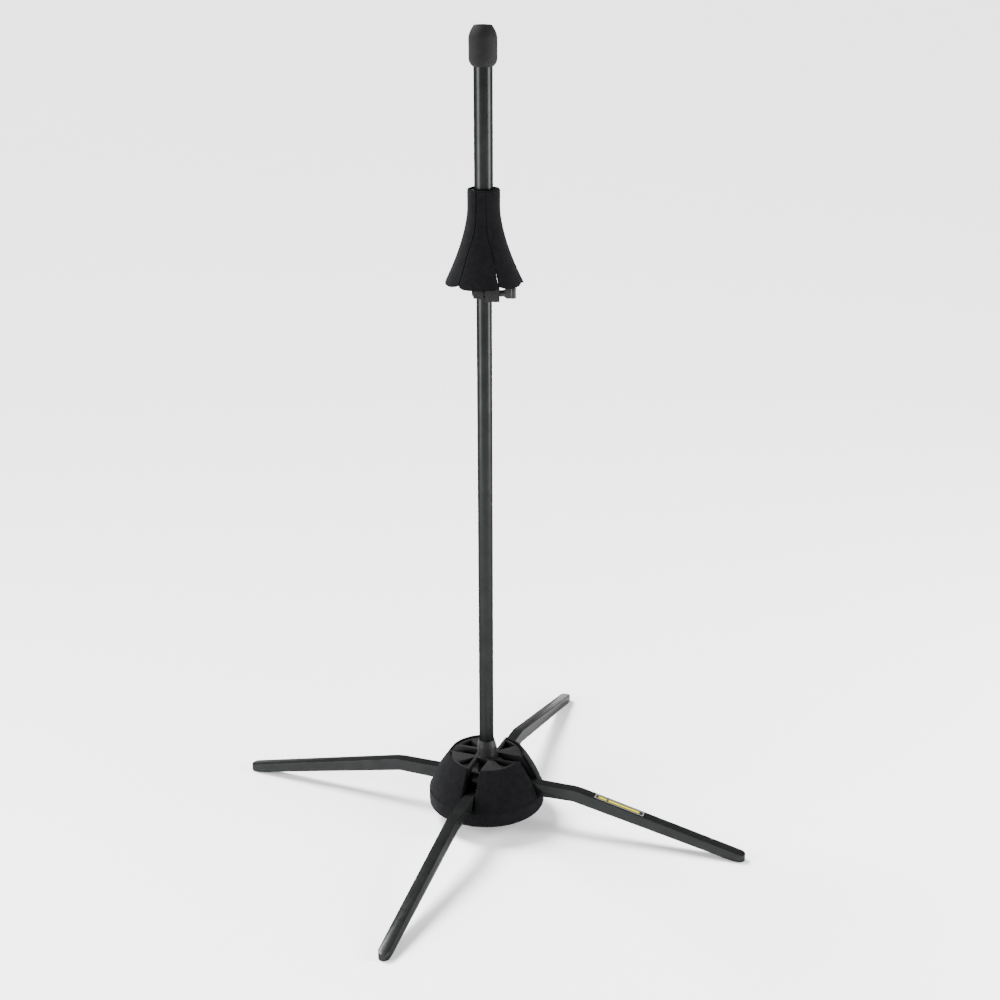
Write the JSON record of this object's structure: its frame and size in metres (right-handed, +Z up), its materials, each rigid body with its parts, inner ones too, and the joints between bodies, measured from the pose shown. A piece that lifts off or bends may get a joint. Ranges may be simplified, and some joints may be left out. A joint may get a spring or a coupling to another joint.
{
  "type": "brass instrument in-bell stand",
  "caption": "Folding floor stand for a brass instrument: channel legs in a flocked hub, a telescopic post and a cone of hinged flocked petals that holds the bell.",
  "frame": {"origin": "on the floor, on the post's axis", "axes": "+Z up along the post; +X along the leg that carries the label, +Y along the next leg"},
  "size_m": [0.596, 0.596, 0.867],
  "materials": {
    "flock": "black flocked coating, dense short pile, matt",
    "core_plastic": "moulded black nylon, matt",
    "plate_plastic": "moulded black plastic, fine spark texture",
    "zinc": "zinc-plated steel",
    "black_steel": "black powder coat, satin to gloss",
    "tube_steel": "black gloss paint",
    "nylon": "natural nylon",
    "dark_nylon": "black nylon",
    "bumper_rubber": "dark grey soft rubber",
    "plug_rubber": "black rubber",
    "clamp_plastic": "black glass-filled nylon, semi-gloss",
    "screw_plastic": "dark grey moulded plastic",
    "label": "plain yellow film with a dark border, no lettering"
  },
  "bodies": {
    "base": {"hub_shell": "flock", "hub_core": "core_plastic", "base_plate": "plate_plastic", "base_screws": "zinc", "leg_pins": "zinc", "spring_plungers": "zinc", "post_pin": "zinc", "lower_tube": "tube_steel", "guide_bush": "nylon"},
    "glide": {"clamp_liner": "dark_nylon"},
    "mast": {"upper_tube": "tube_steel", "top_plug": "plug_rubber", "top_bumper": "bumper_rubber", "clamp_body": "clamp_plastic", "clamp_nut": "black_steel", "petal_carrier": "dark_nylon", "petal_pins": "black_steel"},
    "screw": {"thumb_screw": "screw_plastic"},
    "expander": {"expander": "core_plastic"},
    "petal_1_body": {"petal_1": "flock"},
    "petal_2_body": {"petal_2": "flock"},
    "petal_3_body": {"petal_3": "flock"},
    "petal_4_body": {"petal_4": "flock"},
    "petal_5_body": {"petal_5": "flock"},
    "petal_6_body": {"petal_6": "flock"},
    "leg_1_body": {"leg_1": "black_steel", "leg_bush_1": "nylon", "foot_pad_1": "plug_rubber", "leg_label": "label"},
    "leg_2_body": {"leg_2": "black_steel", "leg_bush_2": "nylon", "foot_pad_2": "plug_rubber"},
    "leg_3_body": {"leg_3": "black_steel", "leg_bush_3": "nylon", "foot_pad_3": "plug_rubber"},
    "leg_4_body": {"leg_4": "black_steel", "leg_bush_4": "nylon", "foot_pad_4": "plug_rubber"}
  },
  "joints": [
    {"name": "post_slide", "type": "slide", "parent": "base", "child": "glide", "axis": [0, 0, 1], "range_m": [-0.08, 0.14]},
    {"name": "post_swivel", "type": "hinge", "parent": "glide", "child": "mast", "pos_m": [0, 0, 0.6], "axis": [0, 0, 1], "continuous": true},
    {"name": "clamp_screw_turn", "type": "hinge", "parent": "mast", "child": "screw", "pos_m": [0.00543, -0.01452, 0.6075], "axis": [0.9367, 0.3502, 0], "range_deg": [-270, 0]},
    {"name": "expander_slide", "type": "slide", "parent": "mast", "child": "expander", "axis": [0, 0, 1], "range_m": [0, 0.02]},
    {"name": "petal_1_hinge", "type": "hinge", "parent": "mast", "child": "petal_1_body", "pos_m": [0.00225, -0.01158, 0.7066], "axis": [-0.9816, -0.1908, 0], "range_deg": [0, 9]},
    {"name": "petal_2_hinge", "type": "hinge", "parent": "mast", "child": "petal_2_body", "pos_m": [0.01116, -0.00384, 0.7066], "axis": [-0.3256, -0.9455, 0], "range_deg": [0, 9]},
    {"name": "petal_3_hinge", "type": "hinge", "parent": "mast", "child": "petal_3_body", "pos_m": [0.00891, 0.00774, 0.7066], "axis": [0.6561, -0.7547, 0], "range_deg": [0, 9]},
    {"name": "petal_4_hinge", "type": "hinge", "parent": "mast", "child": "petal_4_body", "pos_m": [-0.00225, 0.01158, 0.7066], "axis": [0.9816, 0.1908, 0], "range_deg": [0, 9]},
    {"name": "petal_5_hinge", "type": "hinge", "parent": "mast", "child": "petal_5_body", "pos_m": [-0.01116, 0.00384, 0.7066], "axis": [0.3256, 0.9455, 0], "range_deg": [0, 9]},
    {"name": "petal_6_hinge", "type": "hinge", "parent": "mast", "child": "petal_6_body", "pos_m": [-0.00891, -0.00774, 0.7066], "axis": [-0.6561, 0.7547, 0], "range_deg": [0, 9]},
    {"name": "leg_1_fold", "type": "hinge", "parent": "base", "child": "leg_1_body", "pos_m": [0.044, 0, 0.0445], "axis": [0, -1, 0], "range_deg": [0, 100]},
    {"name": "leg_2_fold", "type": "hinge", "parent": "base", "child": "leg_2_body", "pos_m": [0, 0.044, 0.0445], "axis": [1, 0, 0], "range_deg": [0, 100]},
    {"name": "leg_3_fold", "type": "hinge", "parent": "base", "child": "leg_3_body", "pos_m": [-0.044, 0, 0.0445], "axis": [0, 1, 0], "range_deg": [0, 100]},
    {"name": "leg_4_fold", "type": "hinge", "parent": "base", "child": "leg_4_body", "pos_m": [0, -0.044, 0.0445], "axis": [-1, 0, 0], "range_deg": [0, 100]}
  ],
  "couplings": [
    {"joint": "petal_1_hinge", "follows": "expander_slide", "rad_per_m": 7.85},
    {"joint": "petal_2_hinge", "follows": "expander_slide", "rad_per_m": 7.85},
    {"joint": "petal_3_hinge", "follows": "expander_slide", "rad_per_m": 7.85},
    {"joint": "petal_4_hinge", "follows": "expander_slide", "rad_per_m": 7.85},
    {"joint": "petal_5_hinge", "follows": "expander_slide", "rad_per_m": 7.85},
    {"joint": "petal_6_hinge", "follows": "expander_slide", "rad_per_m": 7.85}
  ]
}
